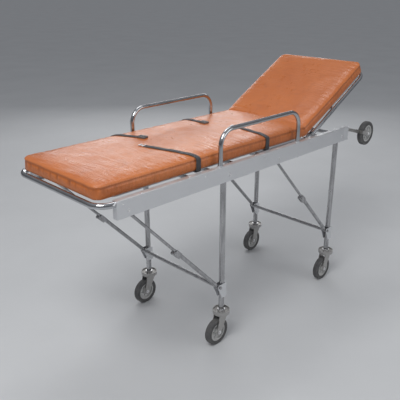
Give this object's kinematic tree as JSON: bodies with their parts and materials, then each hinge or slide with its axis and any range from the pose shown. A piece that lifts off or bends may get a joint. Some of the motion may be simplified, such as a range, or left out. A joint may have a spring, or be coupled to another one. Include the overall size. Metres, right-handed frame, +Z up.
{
  "type": "stretcher trolley",
  "caption": "Wheeled patient stretcher with an orange vinyl mattress, lifting backrest, drop guard rails, folding braced legs on swivel casters and loading wheels at the head end.",
  "frame": {"origin": "on the floor, under the centre of the bounding box", "axes": "+X towards the head end, +Y to the patient's right-hand side, +Z up"},
  "size_m": [1.772, 0.597, 1.1479],
  "materials": {
    "zinc_sheet": "galvanised sheet, satin",
    "chrome_tube": "polished, slightly worn",
    "steel_tube": "drawn tube, satin",
    "zinc_fastener": "zinc plated",
    "cast_zinc": "pressed and plated, dull",
    "hub_grey": "moulded, matt",
    "tyre_rubber": "grey-black rubber",
    "vinyl": "glossy coated fabric",
    "webbing": "woven strap",
    "buckle": "moulded"
  },
  "bodies": {
    "bed": {"side_rail_near": "zinc_sheet", "side_rail_far": "zinc_sheet", "rail_end_plates": "zinc_sheet", "foot_loop": "chrome_tube", "bed_crossbars": "steel_tube", "bed_base_panel": "zinc_sheet", "hinge_side_bars": "zinc_sheet", "ratchet_discs": "zinc_fastener", "mattress_seat": "vinyl", "foot_strap": "webbing", "lap_strap": "webbing", "strap_buckles": "buckle", "leg_pivot_bolts": "zinc_fastener", "leg_pivot_spacers": "zinc_fastener", "stay_anchor_bolts": "zinc_fastener", "guard_rail_sockets": "zinc_sheet", "rail_bolts": "zinc_fastener", "load_wheel_forks": "cast_zinc", "load_wheel_axles": "zinc_fastener"},
    "backrest": {"backrest_frame": "chrome_tube", "backrest_panel": "zinc_sheet", "mattress_back": "vinyl", "hinge_pins": "zinc_fastener"},
    "guard_near": {"guard_rail_near": "chrome_tube"},
    "guard_far": {"guard_rail_far": "chrome_tube"},
    "load_wheel_near": {"load_hub_near": "hub_grey", "load_tyre_near": "tyre_rubber"},
    "load_wheel_far": {"load_hub_far": "hub_grey", "load_tyre_far": "tyre_rubber"},
    "leg_pair_foot": {"legs_foot": "steel_tube", "leg_brackets_foot": "zinc_sheet", "leg_crossbar_foot": "steel_tube", "caster_stems_foot": "zinc_fastener"},
    "stay_lower_pair_foot": {"stays_lower_foot": "steel_tube"},
    "stay_upper_pair_foot": {"stays_upper_foot": "steel_tube"},
    "caster_foot_near": {"caster_fork_foot_near": "cast_zinc", "caster_axle_foot_near": "zinc_fastener"},
    "wheel_foot_near": {"caster_hub_foot_near": "hub_grey", "caster_tyre_foot_near": "tyre_rubber"},
    "caster_foot_far": {"caster_fork_foot_far": "cast_zinc", "caster_axle_foot_far": "zinc_fastener"},
    "wheel_foot_far": {"caster_hub_foot_far": "hub_grey", "caster_tyre_foot_far": "tyre_rubber"},
    "leg_pair_head": {"legs_head": "steel_tube", "leg_brackets_head": "zinc_sheet", "leg_crossbar_head": "steel_tube", "caster_stems_head": "zinc_fastener"},
    "stay_lower_pair_head": {"stays_lower_head": "steel_tube"},
    "stay_upper_pair_head": {"stays_upper_head": "steel_tube"},
    "caster_head_near": {"caster_fork_head_near": "cast_zinc", "caster_axle_head_near": "zinc_fastener"},
    "wheel_head_near": {"caster_hub_head_near": "hub_grey", "caster_tyre_head_near": "tyre_rubber"},
    "caster_head_far": {"caster_fork_head_far": "cast_zinc", "caster_axle_head_far": "zinc_fastener"},
    "wheel_head_far": {"caster_hub_head_far": "hub_grey", "caster_tyre_head_far": "tyre_rubber"}
  },
  "joints": [
    {"name": "backrest_tilt", "type": "hinge", "parent": "bed", "child": "backrest", "pos_m": [0.322, 0, 0.831], "axis": [0, -1, 0], "range_deg": [-28.5, 41.5]},
    {"name": "guard_near_drop", "type": "slide", "parent": "bed", "child": "guard_near", "axis": [0, 0, 1], "range_m": [-0.075, 0]},
    {"name": "guard_far_drop", "type": "slide", "parent": "bed", "child": "guard_far", "axis": [0, 0, 1], "range_m": [-0.075, 0]},
    {"name": "load_wheel_near_spin", "type": "hinge", "parent": "bed", "child": "load_wheel_near", "pos_m": [0.8235, -0.2745, 0.773], "axis": [0, 1, 0], "continuous": true},
    {"name": "load_wheel_far_spin", "type": "hinge", "parent": "bed", "child": "load_wheel_far", "pos_m": [0.8235, 0.2745, 0.773], "axis": [0, 1, 0], "continuous": true},
    {"name": "leg_fold_foot", "type": "hinge", "parent": "bed", "child": "leg_pair_foot", "pos_m": [-0.256, 0, 0.803], "axis": [0, 1, 0], "range_deg": [0, 76]},
    {"name": "stay_lower_foot", "type": "hinge", "parent": "leg_pair_foot", "child": "stay_lower_pair_foot", "pos_m": [-0.281, 0, 0.287], "axis": [0, 1, 0], "range_deg": [-0.5, 43.86]},
    {"name": "stay_knee_foot", "type": "hinge", "parent": "stay_lower_pair_foot", "child": "stay_upper_pair_foot", "pos_m": [-0.53419, 0, 0.54025], "axis": [0, -1, 0], "range_deg": [-1, 168.44]},
    {"name": "swivel_foot_near", "type": "hinge", "parent": "leg_pair_foot", "child": "caster_foot_near", "pos_m": [-0.256, -0.2485, 0.15], "axis": [0, 0, 1], "continuous": true},
    {"name": "wheel_foot_near_spin", "type": "hinge", "parent": "caster_foot_near", "child": "wheel_foot_near", "pos_m": [-0.286, -0.2485, 0.0625], "axis": [0, 1, 0], "continuous": true},
    {"name": "swivel_foot_far", "type": "hinge", "parent": "leg_pair_foot", "child": "caster_foot_far", "pos_m": [-0.256, 0.2485, 0.15], "axis": [0, 0, 1], "continuous": true},
    {"name": "wheel_foot_far_spin", "type": "hinge", "parent": "caster_foot_far", "child": "wheel_foot_far", "pos_m": [-0.286, 0.2485, 0.0625], "axis": [0, 1, 0], "continuous": true},
    {"name": "leg_fold_head", "type": "hinge", "parent": "bed", "child": "leg_pair_head", "pos_m": [0.578, 0, 0.803], "axis": [0, 1, 0], "range_deg": [0, 76]},
    {"name": "stay_lower_head", "type": "hinge", "parent": "leg_pair_head", "child": "stay_lower_pair_head", "pos_m": [0.553, 0, 0.287], "axis": [0, 1, 0], "range_deg": [-0.5, 43.86]},
    {"name": "stay_knee_head", "type": "hinge", "parent": "stay_lower_pair_head", "child": "stay_upper_pair_head", "pos_m": [0.29981, 0, 0.54025], "axis": [0, -1, 0], "range_deg": [-1, 168.44]},
    {"name": "swivel_head_near", "type": "hinge", "parent": "leg_pair_head", "child": "caster_head_near", "pos_m": [0.578, -0.2485, 0.15], "axis": [0, 0, 1], "continuous": true},
    {"name": "wheel_head_near_spin", "type": "hinge", "parent": "caster_head_near", "child": "wheel_head_near", "pos_m": [0.548, -0.2485, 0.0625], "axis": [0, 1, 0], "continuous": true},
    {"name": "swivel_head_far", "type": "hinge", "parent": "leg_pair_head", "child": "caster_head_far", "pos_m": [0.578, 0.2485, 0.15], "axis": [0, 0, 1], "continuous": true},
    {"name": "wheel_head_far_spin", "type": "hinge", "parent": "caster_head_far", "child": "wheel_head_far", "pos_m": [0.548, 0.2485, 0.0625], "axis": [0, 1, 0], "continuous": true}
  ],
  "couplings": [
    {"joint": "stay_lower_foot", "follows": "leg_fold_foot", "ratio": 0.57053},
    {"joint": "stay_knee_foot", "follows": "leg_fold_foot", "ratio": 2.2031},
    {"joint": "stay_lower_head", "follows": "leg_fold_head", "ratio": 0.57053},
    {"joint": "stay_knee_head", "follows": "leg_fold_head", "ratio": 2.2031}
  ]
}
